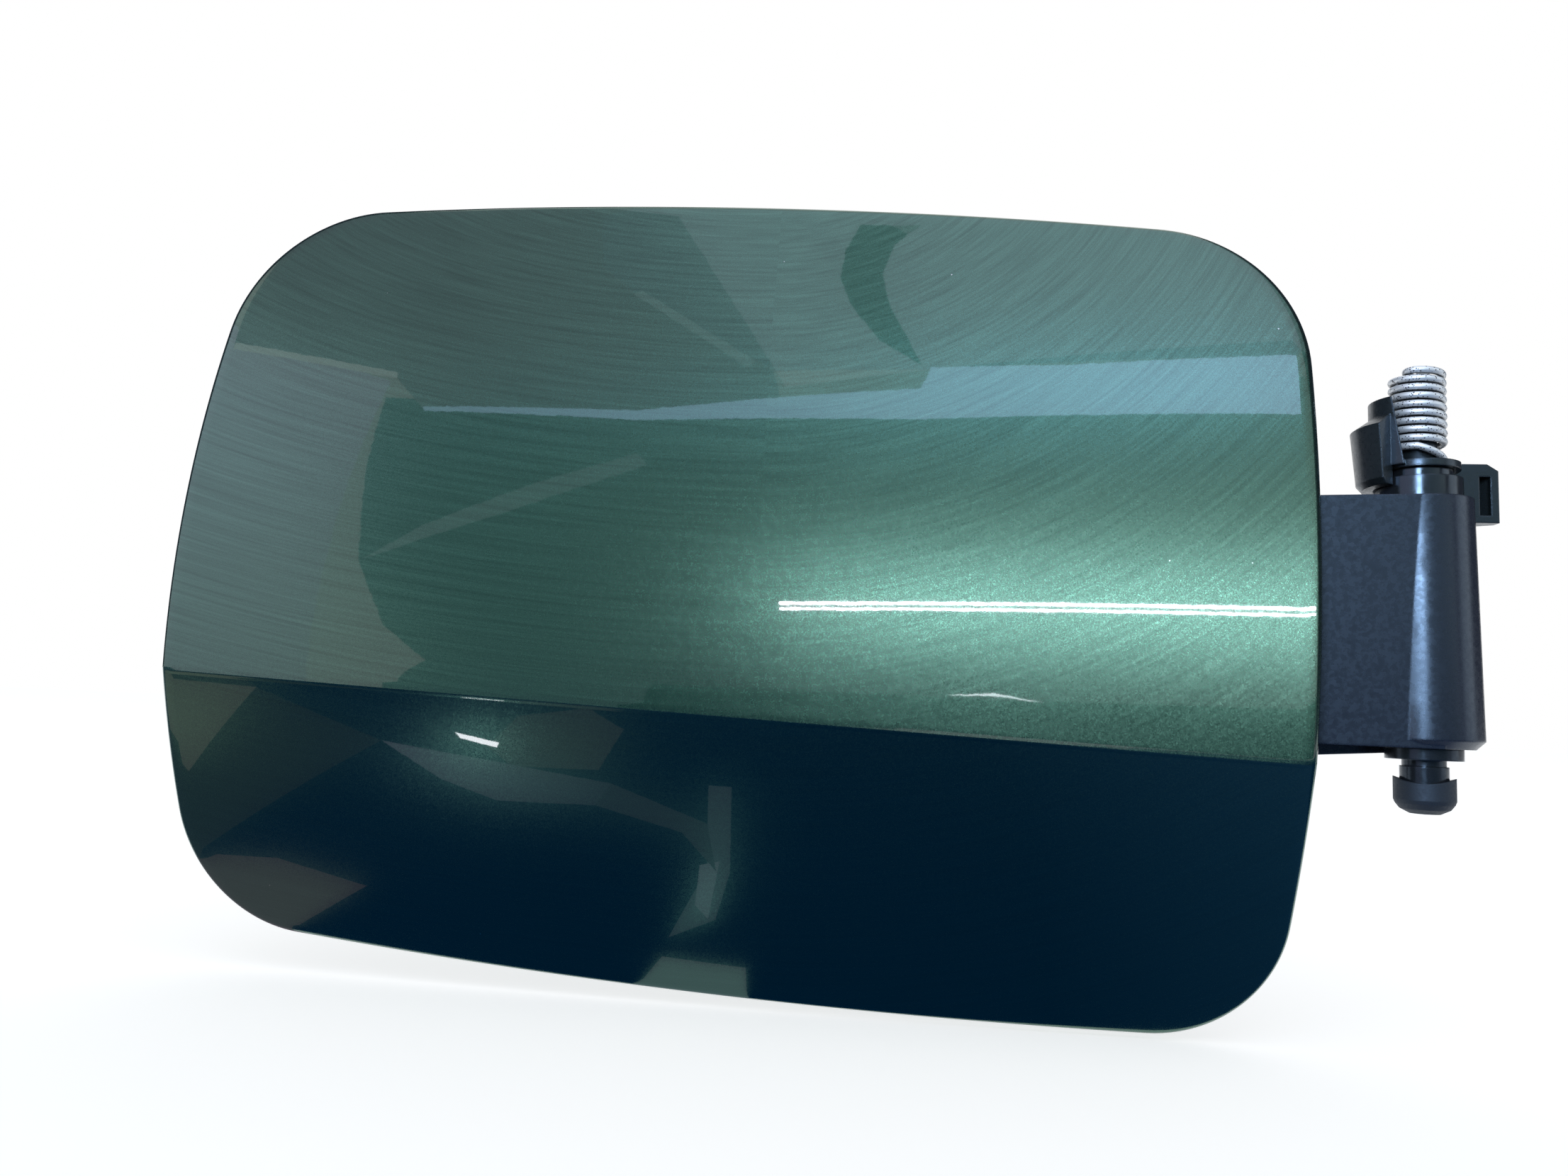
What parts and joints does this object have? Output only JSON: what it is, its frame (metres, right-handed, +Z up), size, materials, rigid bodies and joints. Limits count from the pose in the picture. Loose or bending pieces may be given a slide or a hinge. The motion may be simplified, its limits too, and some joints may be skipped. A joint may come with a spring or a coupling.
{
  "type": "fuel flap",
  "caption": "Painted steel fuel flap with a creased face, a moulded swing arm and a sprung hinge with lever and pin.",
  "frame": {"origin": "on the hinge axis, inside the round stretch of the end cap that turns in the lower bearing", "axes": "+Z up the hinge axis, -Y out of the car through the painted face, -X from the hinge towards the free edge"},
  "size_m": [0.2364, 0.026, 0.1464],
  "materials": {
    "green_paint": "dark green metallic, clear coated",
    "primer_paint": "thin green spray over primer",
    "black_moulding": "satin black moulding",
    "black_bush": "smooth black plastic",
    "black_lever": "satin black moulding",
    "soft_black": "matt black rubber",
    "pin_steel": "ground steel",
    "coated_spring": "light grey zinc flake coat, chipped",
    "zinc_steel": "zinc plated",
    "rivet_aluminium": "bare"
  },
  "bodies": {
    "lever": {"spring_lever": "black_lever", "torsion_spring": "coated_spring"},
    "flap": {"outer_panel": "green_paint", "inner_panel": "primer_paint", "hinge_arm": "black_moulding", "hinge_pin": "pin_steel", "upper_bush": "black_bush", "lower_bush": "black_bush", "end_cap": "soft_black", "arm_screw_1": "zinc_steel", "arm_screw_2": "zinc_steel", "arm_screw_3": "zinc_steel", "captive_nut_1": "zinc_steel", "captive_nut_2": "zinc_steel", "captive_nut_3": "zinc_steel", "latch_striker": "black_bush", "striker_rivet_1": "rivet_aluminium", "striker_rivet_2": "rivet_aluminium", "buffer_top": "soft_black", "buffer_bottom": "soft_black"}
  },
  "joints": [
    {"name": "flap_hinge", "type": "hinge", "parent": "lever", "child": "flap", "pos_m": [0, 0, 0], "axis": [0, 0, 1], "range_deg": [0, 90], "stiffness_Nm_per_rad": 0.04, "springref_deg": -34.38, "deforming": ["torsion_spring"]}
  ]
}
